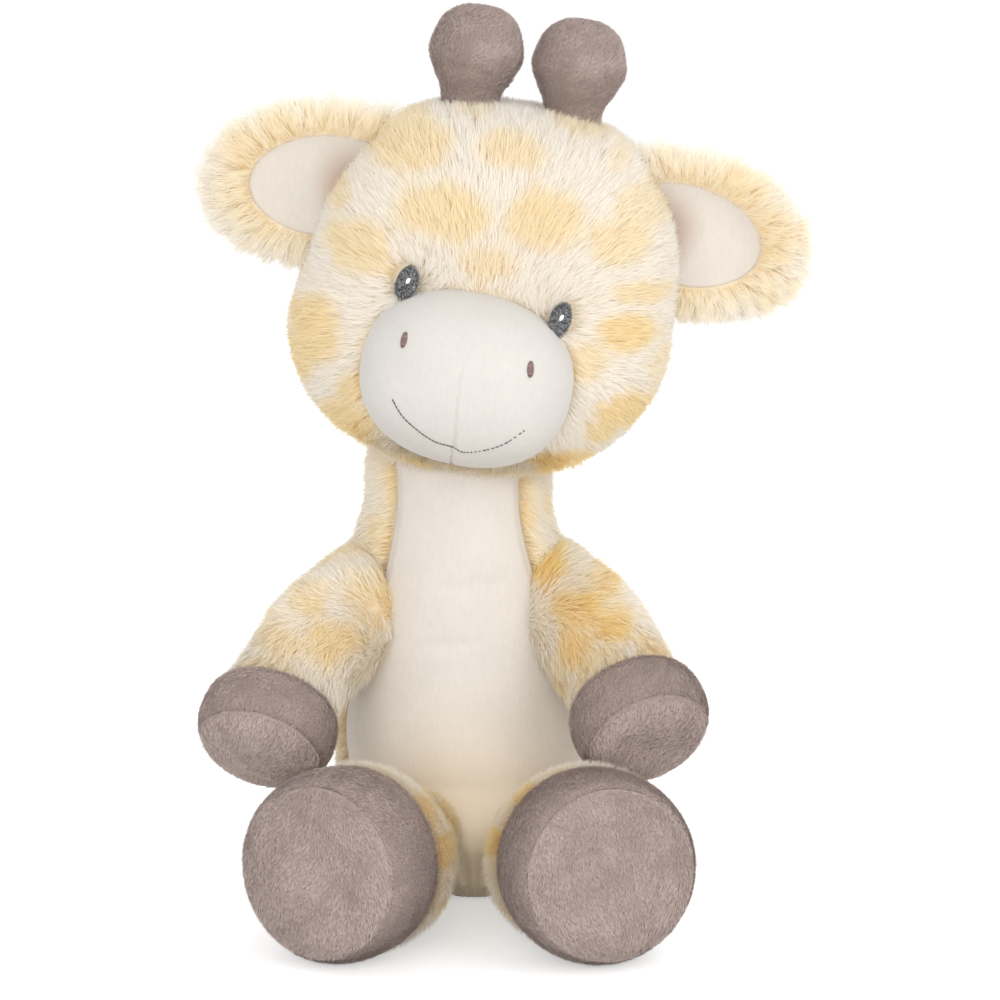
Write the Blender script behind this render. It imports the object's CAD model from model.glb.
"""A sitting stuffed giraffe: long cream fur with pale-yellow spots, velour muzzle, belly and ear linings,
short-pile hands, feet and horns, embroidered eyes, nostrils and smile.
Sizes are in millimetres; a mesh is scaled to metres as it is made. Left and right are the viewer's."""

import itertools
import math

import bpy
import numpy as np
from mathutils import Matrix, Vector


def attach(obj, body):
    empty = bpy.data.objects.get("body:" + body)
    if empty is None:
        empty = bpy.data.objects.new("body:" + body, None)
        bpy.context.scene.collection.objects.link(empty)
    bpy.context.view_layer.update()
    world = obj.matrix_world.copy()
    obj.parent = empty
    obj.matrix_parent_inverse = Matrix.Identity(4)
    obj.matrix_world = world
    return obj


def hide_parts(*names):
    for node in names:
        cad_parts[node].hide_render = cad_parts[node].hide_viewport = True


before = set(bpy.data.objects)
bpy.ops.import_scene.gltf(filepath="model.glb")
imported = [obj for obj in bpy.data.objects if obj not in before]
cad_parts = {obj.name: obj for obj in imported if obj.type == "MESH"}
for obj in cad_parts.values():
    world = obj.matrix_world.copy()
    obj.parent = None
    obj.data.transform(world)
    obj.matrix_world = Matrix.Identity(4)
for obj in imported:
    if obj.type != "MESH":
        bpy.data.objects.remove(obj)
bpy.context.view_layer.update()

# Studio
# A white table in white air, with a large soft lamp in front and above on the left and weaker ones at the
# right and behind. The camera stands 1.4 m off and looks a little down, as a table-top photograph is taken.

MM = 0.001
CAMERA_TARGET = Vector((8.9, 0, 132)) * MM
CAMERA_DISTANCE = 1.4
CAMERA_ELEVATION = math.radians(11)
CAMERA_LENS = 147.5
AIR_LIGHT = 0.77  # the white air's light on the toy, and how bright the air itself is seen
AIR_SEEN = 1.0
TABLE_GLOW = 0.46  # light added to the table where it is seen, so that it is as white as the air

camera_data = bpy.data.cameras.new("camera")
camera_data.lens = CAMERA_LENS
camera_data.sensor_width = 36
camera = bpy.data.objects.new("camera", camera_data)
bpy.context.scene.collection.objects.link(camera)
toward_camera = Vector((0, -math.cos(CAMERA_ELEVATION), math.sin(CAMERA_ELEVATION)))
camera.location = CAMERA_TARGET + CAMERA_DISTANCE * toward_camera
camera.rotation_euler = (math.pi / 2 - CAMERA_ELEVATION, 0, 0)
bpy.context.scene.camera = camera
bpy.context.scene.view_settings.view_transform = "Standard"


def srgb(red, green, blue):
    """A colour as it is seen, each channel 0 to 255, turned into the linear values that shaders take."""
    seen = np.array((red, green, blue)) / 255
    linear = np.where(seen <= 0.04045, seen / 12.92, ((seen + 0.055) / 1.055) ** 2.4)
    return (*[float(channel) for channel in linear], 1.0)


def node_maker(tree):
    """Two helpers for a tree of shader nodes: one adds a node of a kind, with values for its sockets and its
    own settings, and one links a result to a socket."""

    def add(kind, values=None, **settings):
        node = tree.nodes.new("ShaderNode" + kind)
        for setting, choice in settings.items():
            setattr(node, setting, choice)
        for socket, value in (values or {}).items():
            node.inputs[socket].default_value = value
        return node

    def join(start, result, end, socket):
        tree.links.new(start.outputs[result], end.inputs[socket])

    return add, join


def new_finish(name):
    """An empty material, with its helpers that add nodes and join them, and its output."""
    finish = bpy.data.materials.new(name)
    finish.use_nodes = True
    finish.node_tree.nodes.clear()
    add, join = node_maker(finish.node_tree)
    return finish, add, join, add("OutputMaterial")


def soft_lamp(name, place, size, power):
    """A square area lamp at a place in metres, aimed at the toy."""
    data = bpy.data.lights.new(name, "AREA")
    data.shape = "SQUARE"
    data.size = size
    data.energy = power
    lamp = bpy.data.objects.new(name, data)
    bpy.context.scene.collection.objects.link(lamp)
    lamp.location = place
    lamp.rotation_euler = (CAMERA_TARGET - Vector(place)).to_track_quat("-Z", "Y").to_euler()


soft_lamp("lamp_front", (-0.3, -1.7, 0.5), size=1.4, power=16.5)
soft_lamp("lamp_side", (1.1, -0.9, 0.7), size=1.0, power=6)
soft_lamp("lamp_back", (0.2, 1.2, 1.3), size=1.0, power=7)

world = bpy.data.worlds.new("studio")
bpy.context.scene.world = world
world.use_nodes = True
sky = world.node_tree.nodes["Background"]
sky.inputs["Color"].default_value = (1, 1, 1, 1)
add, join = node_maker(world.node_tree)
rays = add("LightPath")
seen_rays = add("Math", operation="MAXIMUM")
level = add("MapRange", {"To Min": AIR_LIGHT, "To Max": AIR_SEEN})
join(rays, "Is Camera Ray", seen_rays, 0)
join(rays, "Is Glossy Ray", seen_rays, 1)
join(seen_rays, 0, level, "Value")
join(level, "Result", sky, "Strength")

floor_finish, add, join, output = new_finish("white_table")
table_rays = add("LightPath")
table_level = add("Math", {1: TABLE_GLOW}, operation="MULTIPLY")
table_cloth = add("BsdfDiffuse", {"Color": (0.8, 0.8, 0.8, 1)})
table_glow = add("Emission")
table_sum = add("AddShader")
join(table_rays, "Is Camera Ray", table_level, 0)
join(table_level, 0, table_glow, "Strength")
join(table_cloth, 0, table_sum, 0)
join(table_glow, 0, table_sum, 1)
join(table_sum, 0, output, "Surface")
floor_mesh = bpy.data.meshes.new("table_top")
floor_mesh.from_pydata([(-6, -6, 0), (6, -6, 0), (6, 6, 0), (-6, 6, 0)], [], [(0, 1, 2, 3)])
floor_mesh.materials.append(floor_finish)
floor = bpy.data.objects.new("table_top", floor_mesh)
bpy.context.scene.collection.objects.link(floor)

# Torso cover
# One sewn cover for the back, the sides, the neck and the seat, cut from knitted cloth with a long soft
# pile. It is stuffed firmly, so the cloth is a smooth pear and only the pile gives it its soft edge.

FUR_INSET = 3.8  # the cloth lies this far inside the middle of the pile
FLOOR_CLEAR = 0.4
NECK_HEIGHT = 130
TORSO_HEIGHT = 167
SEAT_HALF_WIDTH = 24
BELLY_HEIGHT = 46
BELLY_HALF_WIDTH = 46
BELLY_FRONT = 42
BELLY_BEHIND = 41
LAP_FRONT = 12
CHEST_HEIGHT = 98
CHEST_HALF_WIDTH = 36
NECK_RADIUS = 31
NECK_LEAN = -5.2


def mix(low, high, share):
    """The value a share of the way from low to high."""
    return low + (high - low) * share


def ease(low, high, value):
    """0 below low, 1 above high, and an S-curve between them."""
    share = np.clip((value - low) / (high - low), 0, 1)
    return share * share * (3 - 2 * share)


def spline(points, share):
    """A curve through the points with even spacing: each stretch is a cubic whose slope at a point is
    half the step between that point's two neighbours, and the end points stand in for missing ones."""
    points = np.asarray(points, float)
    last = len(points) - 1
    place = np.clip(np.asarray(share, float), 0, 1) * last
    start = np.minimum(np.floor(place).astype(int), last - 1)
    t = (place - start)[..., None]
    before, here = points[np.maximum(start - 1, 0)], points[start]
    there, after = points[start + 1], points[np.minimum(start + 2, last)]
    slope_here, slope_there = (there - before) / 2, (after - here) / 2
    return ((2 * here - 2 * there + slope_here + slope_there) * t**3
            + (3 * there - 3 * here - 2 * slope_here - slope_there) * t**2 + slope_here * t + here)


TORSO_OUTLINE = [
    (0, -0.5),
    (SEAT_HALF_WIDTH, -0.5),
    (mix(SEAT_HALF_WIDTH, BELLY_HALF_WIDTH, 0.62), 0.12 * BELLY_HEIGHT),
    (mix(SEAT_HALF_WIDTH, BELLY_HALF_WIDTH, 0.92), 0.48 * BELLY_HEIGHT),
    (BELLY_HALF_WIDTH, BELLY_HEIGHT),
    (mix(CHEST_HALF_WIDTH, BELLY_HALF_WIDTH, 0.62), mix(BELLY_HEIGHT, CHEST_HEIGHT, 0.52)),
    (CHEST_HALF_WIDTH, CHEST_HEIGHT),
    (mix(NECK_RADIUS, CHEST_HALF_WIDTH, 0.4), mix(CHEST_HEIGHT, NECK_HEIGHT, 0.6)),
    (NECK_RADIUS, NECK_HEIGHT),
    (NECK_RADIUS, mix(NECK_HEIGHT, TORSO_HEIGHT, 0.45)),
    (0.84 * NECK_RADIUS, mix(NECK_HEIGHT, TORSO_HEIGHT, 0.78)),
    (0.42 * NECK_RADIUS, mix(NECK_HEIGHT, TORSO_HEIGHT, 0.97)),
    (0, TORSO_HEIGHT),
]


def lean(height):
    """The X of the torso's middle line at a height: it leans to the left as it rises."""
    return NECK_LEAN * ease(0, NECK_HEIGHT, height)


def torso_half_width(height):
    """Half the torso's width at a height, between the outline's points."""
    outline = spline(TORSO_OUTLINE, np.linspace(0.05, 0.95, 400))
    return np.interp(height, outline[:, 1], outline[:, 0])


def torso_depths(half_width, height):
    """The torso's depth in front and behind, as a share of its half width that grows to 1 at the neck;
    in front of the seat it is cut back to a low lap."""
    rise = ease(BELLY_HEIGHT, NECK_HEIGHT, height)
    behind = half_width * mix(BELLY_BEHIND / BELLY_HALF_WIDTH, 1, rise)
    full = half_width * mix(BELLY_FRONT / BELLY_HALF_WIDTH, 1, rise)
    lap = LAP_FRONT * np.minimum(1, half_width / SEAT_HALF_WIDTH)
    return mix(lap, full, ease(8, 30, height)), behind


def torso_form(inset, rows, columns):
    """The outline carried round a flattened circle; rows run from the seat to the top of the neck."""
    climb = np.linspace(0, 1, rows)
    half_width, height = spline(TORSO_OUTLINE, climb).T
    half_width = np.maximum(half_width - inset * ease(0, 20, half_width), 0)
    height = height + inset * np.interp(climb, (0, 0.1, 0.9, 1), (1, 0, 0, -1))
    front, behind = torso_depths(half_width, height)
    angle = np.linspace(0, 2 * math.pi, columns, endpoint=False)
    across, along = np.cos(angle), np.sin(angle)
    depth = np.where(along[None] < 0, front[:, None], behind[:, None])
    x = lean(height)[:, None] + half_width[:, None] * across
    z = np.repeat(height[:, None], columns, axis=1)
    return np.stack((x, depth * along, z), axis=-1)


def link_piece(name, points, faces, finish, body):
    """A mesh piece from points in millimetres, smooth, with its finish and the body it rides on."""
    mesh = bpy.data.meshes.new(name)
    mesh.from_pydata((np.asarray(points) * MM).tolist(), [], faces)
    mesh.materials.append(finish)
    mesh.shade_smooth()
    piece = bpy.data.objects.new(name, mesh)
    bpy.context.scene.collection.objects.link(piece)
    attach(piece, body)
    return piece


def shell(name, form, finish, body):
    """A closed skin over a grid of points whose columns go round and whose first and last rows are poles."""
    rows, columns = form.shape[:2]
    ring = np.arange(columns)
    following = (ring + 1) % columns
    starts = np.arange(rows - 3)[:, None] * columns
    above = starts + columns
    quads = np.stack((starts + ring, starts + following, above + following, above + ring), -1)
    low, high = (rows - 2) * columns, (rows - 2) * columns + 1
    top = (rows - 3) * columns
    faces = quads.reshape(-1, 4).tolist()
    faces += [(low, b, a) for a, b in zip(ring.tolist(), following.tolist())]
    faces += [(high, top + a, top + b) for a, b in zip(ring.tolist(), following.tolist())]
    points = np.concatenate((form[1:-1].reshape(-1, 3), [form[0].mean(0)], [form[-1].mean(0)]))
    return link_piece(name, points, faces, finish, body)


def backing_finish(name, colour):
    """Knitted cloth under the pile: rows of fine loops as bump, its colour mottled a little."""
    finish, add, join, output = new_finish(name)
    shader = add("BsdfPrincipled", {"Roughness": 0.95, "Specular IOR Level": 0.1})
    place = add("TexCoord")
    mottle = add("TexNoise", {"Scale": 260})
    ramp = add("ValToRGB")
    ramp.color_ramp.elements[0].color = srgb(*[0.86 * channel for channel in colour])
    ramp.color_ramp.elements[1].color = srgb(*colour)
    loops = add("TexVoronoi", {"Scale": 1400})
    bump = add("Bump", {"Strength": 0.4, "Distance": 0.0003})
    join(place, "Object", mottle, "Vector")
    join(place, "Object", loops, "Vector")
    join(mottle, "Fac", ramp, "Fac")
    join(ramp, "Color", shader, "Base Color")
    join(loops, "Distance", bump, "Height")
    join(bump, "Normal", shader, "Normal")
    join(shader, "BSDF", output, "Surface")
    return finish


fur_backing = backing_finish("fur_backing", (255, 243, 219))
torso_skin = torso_form(FUR_INSET, 90, 120)
torso_skin[..., 2] = np.maximum(torso_skin[..., 2], FLOOR_CLEAR)
torso_backing = shell("torso_backing", torso_skin, fur_backing, "torso")
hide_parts("torso_fur_cover")

# Torso pile
# The fur of the torso: fine fibres about 9 mm long that leave the cloth nearly upright and bend over the
# way they were brushed. They lie outwards from the panel's seams, and down the back. They mat in tufts.

LATTICE = 32
lattice = np.random.default_rng(11).random((LATTICE, LATTICE, LATTICE, 4))


def drift(points, cell):
    """Four smooth random values from -1 to 1 at each point: a lattice of random numbers, one every cell,
    blended between its eight nearest corners."""
    place = points / cell
    base = np.floor(place).astype(int)
    share = ease(0, 1, place - base)
    total = np.zeros((len(points), 4))
    for corner in itertools.product((0, 1), repeat=3):
        weight = np.prod(np.where(corner, share, 1 - share), axis=1)
        x, y, z = ((base + corner) % LATTICE).T
        total += weight[:, None] * lattice[x, y, z]
    return 2 * total - 1


def nearest_tuft(points, cell):
    """Each cell of a lattice holds one centre at a random place; gives each point its nearest centre,
    the distance to it and that centre's own random number."""
    base = np.floor(points / cell).astype(int)
    distance = np.full(len(points), np.inf)
    centre = np.zeros_like(points)
    number = np.zeros(len(points))
    for step in itertools.product((-1, 0, 1), repeat=3):
        x, y, z = ((base + step) % LATTICE).T
        chance = lattice[x, y, z]
        place = (base + step + chance[:, :3]) * cell
        away = np.linalg.norm(place - points, axis=1)
        closer = away < distance
        distance = np.where(closer, away, distance)
        centre[closer] = place[closer]
        number = np.where(closer, chance[:, 3], number)
    return centre, distance, number


def unit(vectors):
    """The vectors at length 1."""
    return vectors / np.maximum(np.linalg.norm(vectors, axis=-1, keepdims=True), 1e-9)


def flat_on(vectors, outward):
    """What is left of the vectors along the surface, at length 1."""
    return unit(vectors - np.sum(vectors * outward, axis=-1, keepdims=True) * outward)


def outward_normals(form):
    """Normals of a grid of points: the step along the columns crossed with the step along the rows."""
    around = np.roll(form, -1, axis=1) - np.roll(form, 1, axis=1)
    along = np.gradient(form, axis=0)
    normals = np.cross(around, along)
    normals[0], normals[-1] = normals[1].mean(0), normals[-2].mean(0)
    return unit(normals)


def sow(form, per_mm2, seed):
    """Roots spread evenly over a grid surface: each face gets its share of them by its area, and each
    root lies at a random place between its face's four corners. Gives the roots and their normals."""
    chance = np.random.default_rng(seed)
    wrapped = np.concatenate((form, form[:, :1]), axis=1)
    normals = outward_normals(form)
    normals = np.concatenate((normals, normals[:, :1]), axis=1)
    diagonal, other = wrapped[1:, 1:] - wrapped[:-1, :-1], wrapped[1:, :-1] - wrapped[:-1, 1:]
    area = 0.5 * np.linalg.norm(np.cross(diagonal, other), axis=-1).ravel()
    count = int(area.sum() * per_mm2)
    face = np.searchsorted(np.cumsum(area) / area.sum(), chance.random(count))
    row, column = np.divmod(face, form.shape[1])
    up, across = chance.random((2, count, 1))

    def between(grid):
        low = mix(grid[row, column], grid[row, column + 1], across)
        high = mix(grid[row + 1, column], grid[row + 1, column + 1], across)
        return mix(low, high, up)

    return between(wrapped), unit(between(normals))


def grow(name, roots, outward, comb, tone, finish, slot, body, length, width, lift,
         stray=0.25, tuft=4.5, pull=0.35, seed=1, panels=None):
    """Pile on the roots. A strand is a blade of two faces: its root, the two points where it is widest,
    and its tip. It starts lift of the way upright, bends towards the combed direction, and its tip is
    drawn towards the nearest tuft centre. U in its map is its tone and V runs from its root to its tip.
    Panels give the roots of each piece, where the pile is made in more than one."""
    chance = np.random.default_rng(seed)
    count = len(roots)
    wander = stray * drift(roots, 2.2 * tuft)[:, :3]
    lying = flat_on(flat_on(comb, outward) + wander + 0.22 * chance.normal(size=(count, 3)), outward)
    lift = np.clip(lift + 0.1 * chance.normal(size=(count, 1)), 0.05, 0.95)
    reach = length * chance.uniform(0.75, 1.1, (count, 1))
    start = unit(lift * outward + (1 - lift) * lying)
    end = unit(0.55 * lift * outward + lying)
    gather = nearest_tuft(roots, tuft)[0] - roots
    gather -= np.sum(gather * outward, axis=1, keepdims=True) * outward
    middle = roots + 0.5 * reach * start + 0.25 * pull * gather
    tip = middle + 0.5 * reach * end + pull * gather
    side = unit(np.cross(end, outward))
    roll = chance.normal(0, 0.3, (count, 1))
    side = np.cos(roll) * side + np.sin(roll) * np.cross(end, side)
    half = 0.5 * width * chance.uniform(0.7, 1.3, (count, 1))
    blades = np.stack((roots, middle - half * side, middle + half * side, tip), axis=1)
    blades[..., 2] = np.maximum(blades[..., 2], FLOOR_CLEAR)
    shade = np.clip(np.asarray(tone) + 0.03 * chance.normal(size=count), 0.04, 0.96)
    rise = np.array((0.04, 0.5, 0.5, 0.96))  # off the map's edges, as the shade is
    spread = np.array((0, -0.01, 0.01, 0))
    blade_map = np.stack((shade[:, None] + spread, np.broadcast_to(rise, (count, 4))), axis=-1)
    corners = np.array(((0, 2, 1), (1, 2, 3)))
    for suffix, chosen in (panels or {"": slice(None)}).items():
        points, maps = blades[chosen], blade_map[chosen]
        faces = (np.arange(len(points))[:, None, None] * 4 + corners).reshape(-1, 3)
        mesh = bpy.data.meshes.new(name + suffix)
        mesh.vertices.add(points.shape[0] * 4)
        mesh.vertices.foreach_set("co", (points * MM).astype(np.float32).ravel())
        mesh.loops.add(faces.size)
        mesh.loops.foreach_set("vertex_index", faces.astype(np.int32).ravel())
        mesh.polygons.add(len(faces))
        mesh.polygons.foreach_set("loop_start", np.arange(0, faces.size, 3, dtype=np.int32))
        mesh.uv_layers.new(name="OFBake").uv.foreach_set(
            "vector", maps.reshape(-1, 2)[faces.ravel()].astype(np.float32).ravel())
        mesh.materials.append(finish)
        mesh.update()
        piece = bpy.data.objects.new(name + suffix, mesh)
        bpy.context.scene.collection.objects.link(piece)
        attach(piece, body)


def pile_finish(name, roots, tips, through, sheen):
    """Fine fibre: two rows of colours, for the root and the tip, each from low tone to high tone, blended
    along the strand; a share of the light goes through the fibre."""
    finish, add, join, output = new_finish(name)
    strand_map = add("UVMap", uv_map="OFBake")
    parts = add("SeparateXYZ")
    join(strand_map, "UV", parts, "Vector")
    along = add("MapRange", {"From Min": 0.1, "From Max": 0.75}, interpolation_type="SMOOTHSTEP")
    join(parts, "Y", along, "Value")
    blend = add("Mix", data_type="RGBA")
    join(along, "Result", blend, "Factor")
    for colours, entry in ((roots, "A"), (tips, "B")):
        ramp = add("ValToRGB")
        stops = ramp.color_ramp.elements
        while len(stops) < len(colours):
            stops.new(0.5)
        for index, colour in enumerate(colours):
            stops[index].position = index / (len(colours) - 1)
            stops[index].color = srgb(*colour)
        join(parts, "X", ramp, "Fac")
        join(ramp, "Color", blend, entry)
    shader = add("BsdfPrincipled", {
        "Roughness": 0.7, "Specular IOR Level": 0.15, "Sheen Weight": sheen, "Sheen Roughness": 0.5})
    glow = add("BsdfTranslucent")
    both = add("MixShader", {"Fac": through})
    join(blend, "Result", shader, "Base Color")
    join(blend, "Result", glow, "Color")
    join(shader, "BSDF", both, 1)
    join(glow, "BSDF", both, 2)
    join(both, "Shader", output, "Surface")
    return finish


def blotches(points, cell, smallest, largest):
    """Soft round spots, one about the centre of some cells, each with its own radius; 1 inside, 0 outside."""
    waver = 1 + 0.35 * drift(points, 0.3 * cell)[:, 0]
    _, distance, number = nearest_tuft(points, cell)
    radius = mix(smallest, largest, number)
    return 1 - ease(0.6, 1.25, distance * waver / radius)


fur_finish = pile_finish(
    "long_fur",
    roots=((255, 248, 236), (255, 239, 205), (250, 221, 140)),
    tips=((255, 252, 247), (255, 247, 227), (255, 237, 178)),
    through=0.5,
    sheen=0.0,
)
FUR_LENGTH = 8.6
FUR_WIDTH = 0.26
FUR_PER_MM2 = 5.5
BACK_SHARE = 0.58  # behind, this share of the strands stays, and each is wider by the next value
BACK_WIDENING = 1.3
TIP_SHIFT = 4.5  # a spot is seen where the pile's upper half lies


def named_spots(seen, places):
    """How far each point is inside any of the soft ovals given by a place across and up, half a width, half
    a height and a strength."""
    waver = 1 + 0.22 * drift(seen, 7)[:, 0]
    total = np.zeros(len(seen))
    for spot_x, spot_z, half_x, half_z, strength in places:
        far = np.hypot((seen[:, 0] - spot_x) / half_x, (seen[:, 2] - spot_z) / half_z) * waver
        total = np.maximum(total, strength * (1 - ease(0.7, 1.2, far)))
    return total


def kept_behind(y, seed):
    """Which roots stay: every one in front, and fewer towards the back."""
    return np.random.default_rng(seed).random(len(y)) < mix(1, BACK_SHARE, ease(0, 20, y))


def strand_width(y):
    """A strand's width, more towards the back, where there are fewer."""
    return (FUR_WIDTH * mix(1, BACK_WIDENING, ease(0, 20, y)))[:, None]


PANEL_TOP = 151
PANEL_BOTTOM = 7
PANEL_NECK_HALF = 20
PANEL_BELLY_HALF = 41
PANEL_BELLY_HEIGHT = 52
PANEL_OUTLINE = [
    (0, PANEL_BOTTOM),
    (0.5 * PANEL_BELLY_HALF, mix(PANEL_BOTTOM, PANEL_BELLY_HEIGHT, 0.2)),
    (0.87 * PANEL_BELLY_HALF, mix(PANEL_BOTTOM, PANEL_BELLY_HEIGHT, 0.52)),
    (PANEL_BELLY_HALF, PANEL_BELLY_HEIGHT),
    (mix(PANEL_NECK_HALF, PANEL_BELLY_HALF, 0.75), mix(PANEL_BELLY_HEIGHT, NECK_HEIGHT, 0.33)),
    (mix(PANEL_NECK_HALF, PANEL_BELLY_HALF, 0.3), mix(PANEL_BELLY_HEIGHT, NECK_HEIGHT, 0.66)),
    (PANEL_NECK_HALF, NECK_HEIGHT),
    (PANEL_NECK_HALF, PANEL_TOP),
]


def panel_half_width(height):
    """Half the belly panel's width at a height, and 0 above and below it."""
    half, z = spline(PANEL_OUTLINE, np.linspace(0, 1, 200)).T
    return np.interp(height, z, half, left=0, right=0)


roots, outward = sow(torso_form(FUR_INSET, 240, 320), FUR_PER_MM2, seed=21)
x, y, z = roots.T
off_middle = x - lean(z)
on_panel = (y < 0) & (np.abs(off_middle) < panel_half_width(z) - 0.5)
kept = ~on_panel & (z > 1) & (z < 160) & kept_behind(y, 24)
roots, outward = roots[kept], outward[kept]
x, y, z = roots.T
sideways = np.stack((np.sign(x - lean(z)), 0.9 + 0 * x, 0 * x), -1)
behind = ease(-10, 25, y)[:, None]
downwards = np.array((0, 0, -1.0))
comb = sideways * (1 - behind) + downwards * mix(0.8, 1, behind) + 0.4 * drift(roots, 9)[:, :3]
spots = np.maximum(0.95 * blotches(roots, 21, 5, 11), 0.25)
past_seam = np.abs(x - lean(z)) - panel_half_width(z)
at_seam = ease(2.4, 0.3, past_seam) * (y < 0)  # the pile's warm roots show along the panel's seams
spots = np.maximum(spots, 1.1 * at_seam * (0.8 + 0.4 * drift(roots, 6)[:, 0]))
# Above the shoulders the pile is fuller, most of all on the left, away from which the head leans
fuller = np.exp(-(((z - 119) / 15) ** 2)) * np.where(x < NECK_LEAN, 1, 0.5)
fuller = (fuller * ease(1, 9, np.where(y < 0, past_seam, 9)))[:, None]
grow("torso_pile", roots, outward, comb, 0.55 * spots, fur_finish, "long_fur", "torso",
     FUR_LENGTH + 3.5 * fuller, strand_width(y), 0.5 + 0.3 * fuller, seed=22,
     panels={"_front": y < 4, "_back": y >= 4})

# Belly panel
# One piece of short off-white velour from the chin to between the legs, sewn to the cover down both sides.
# The stuffing swells it between its seams, and it is gathered in small pleats at its lower end.

PANEL_SWELL = 1.6
PANEL_TUCK = 2.4
PANEL_THICKNESS = 1.2
CHIN_TUCK = 0.8  # its top edge is hidden this far above the chin
FUNNEL_HEIGHT = 36  # below this the panel narrows and runs down between the legs
FUNNEL_HALF = (5, 37)  # half its width at the floor and at that height
FUNNEL_DEPTH = (38, 54)  # and how far in front of the middle it lies
PLEAT_DEPTH = 0.8
CREASES = ((109, 5, 17), (90, -3, 14))  # height, place across and half the length of each crease


def velour_finish(name, colour, nap, hollow=None, hollow_place=(0, 0, 0), hollow_reach=1.0):
    """Short dense velour: a faint vertical nap and a fine grain as bump, with a soft sheen. In a hollow, a
    place with its reach in millimetres, the cloth takes a second colour."""
    finish, add, join, output = new_finish(name)
    shader = add("BsdfPrincipled", {
        "Roughness": 0.9, "Specular IOR Level": 0.12, "Sheen Weight": 0.25, "Sheen Roughness": 0.45})
    place = add("TexCoord")
    stretch = add("Mapping", {"Scale": (1, 1, 0.28)})
    streaks = add("TexNoise", {"Scale": 900, "Detail": 3})
    cloud = add("TexNoise", {"Scale": 55, "Detail": 4})
    ramp = add("ValToRGB")
    low, high = ramp.color_ramp.elements
    low.position, high.position = 0.25, 0.7
    low.color, high.color = srgb(*[0.955 * channel for channel in colour]), srgb(*colour)
    half = add("Math", {1: 0.5}, operation="MULTIPLY")
    blend = add("Math", {1: 0.5}, operation="MULTIPLY_ADD")
    bump = add("Bump", {"Strength": nap, "Distance": 0.0004})
    away = add("VectorMath", {1: [MM * value for value in hollow_place]}, operation="DISTANCE")
    near = add("MapRange", {"From Max": hollow_reach * MM, "To Min": 1, "To Max": 0},
               interpolation_type="SMOOTHSTEP")
    tint = add("Mix", {"B": srgb(*(hollow or colour))}, data_type="RGBA")
    join(place, "Object", stretch, "Vector")
    join(stretch, "Vector", streaks, "Vector")
    join(place, "Object", cloud, "Vector")
    join(cloud, "Fac", half, 0)
    join(streaks, "Fac", blend, 0)
    join(half, 0, blend, 2)
    join(blend, 0, ramp, "Fac")
    join(place, "Object", away, 0)
    join(away, "Value", near, "Value")
    join(near, "Result", tint, "Factor")
    join(ramp, "Color", tint, "A")
    join(tint, "Result", shader, "Base Color")
    join(streaks, "Fac", bump, "Height")
    join(bump, "Normal", shader, "Normal")
    join(shader, "BSDF", output, "Surface")
    return finish


def sheet_piece(name, grid, finish, body):
    """An open patch of cloth over a grid of points."""
    rows, columns = grid.shape[:2]
    starts = np.arange(rows - 1)[:, None] * columns + np.arange(columns - 1)
    quads = np.stack((starts, starts + 1, starts + columns + 1, starts + columns), -1)
    return link_piece(name, grid.reshape(-1, 3), quads.reshape(-1, 4).tolist(), finish, body)


belly_velour = velour_finish("belly_velour", (220, 213, 205), 0.35, (246, 227, 197), (1, -40, -2), 88)


def belly_form(rows, columns):
    """Across the panel's width at each height on the front of the torso, swollen between the seams, tucked
    in at them, and pleated near its lower end."""
    height = np.linspace(1, PANEL_TOP + CHIN_TUCK, rows)[:, None]
    share = np.linspace(-1, 1, columns)[None]
    half_width = torso_half_width(height)
    front, _ = torso_depths(half_width, height)
    sewn = panel_half_width(np.minimum(height, PANEL_TOP))
    climb = np.clip(height / FUNNEL_HEIGHT, 0, 1)
    funnel = mix(*FUNNEL_HALF, climb**0.8)
    half_across = np.where(height < FUNNEL_HEIGHT, np.maximum(sewn, funnel), sewn)
    across = share * (half_across + 0.8)
    depth = front * np.sqrt(np.maximum(1 - (across / half_width) ** 2, 0.02))
    edge = np.abs(share)
    keel = mix(*FUNNEL_DEPTH, np.sin(math.pi / 2 * climb)) - 0.025 * across**2
    depth = mix(np.maximum(depth, keel), depth, ease(0.6 * FUNNEL_HEIGHT, 1.2 * FUNNEL_HEIGHT, height))
    seam = PANEL_TUCK * ease(0.9, 1, edge)
    gathered = np.exp(-(((height - 12) / 12) ** 2)) * ease(1, 0.3, edge)
    pleats = PLEAT_DEPTH * gathered * np.cos(22 * across / half_across)
    swell = PANEL_SWELL * (1 - edge**4) - 7 * ease(9, 1, height)
    swell = swell - 1.2 * ease(PANEL_TOP - 4, PANEL_TOP, height)
    for crease_height, middle, reach in CREASES:
        rise = (height - crease_height - 0.08 * across) / 2.4
        swell = swell - 0.6 * np.exp(-(rise**2)) * ease(reach, 0.3 * reach, np.abs(across - middle))
    x = lean(height) + across
    return np.stack((x, -(depth + swell - seam + pleats), height + 0 * x), -1)


belly = sheet_piece("belly_velour", belly_form(190, 110), belly_velour, "torso")
thickness = belly.modifiers.new("cloth", "SOLIDIFY")
thickness.thickness = PANEL_THICKNESS * MM
thickness.offset = -1
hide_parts("belly_panel")

# Stuffing
# Loose polyester fibre fills the torso, the head and the limbs, and a thin bag of plastic pellets lies in
# the seat. The covers hide both, so they keep their plain shapes.

fibre_finish = backing_finish("stuffing_fibre", (246, 246, 243))
pellet_finish = backing_finish("pellet_bag", (218, 214, 206))
for node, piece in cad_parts.items():
    if node.endswith("_filling") or node == "pellet_pouch":
        piece.data.materials.clear()
        piece.data.materials.append(pellet_finish if node == "pellet_pouch" else fibre_finish)

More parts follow.
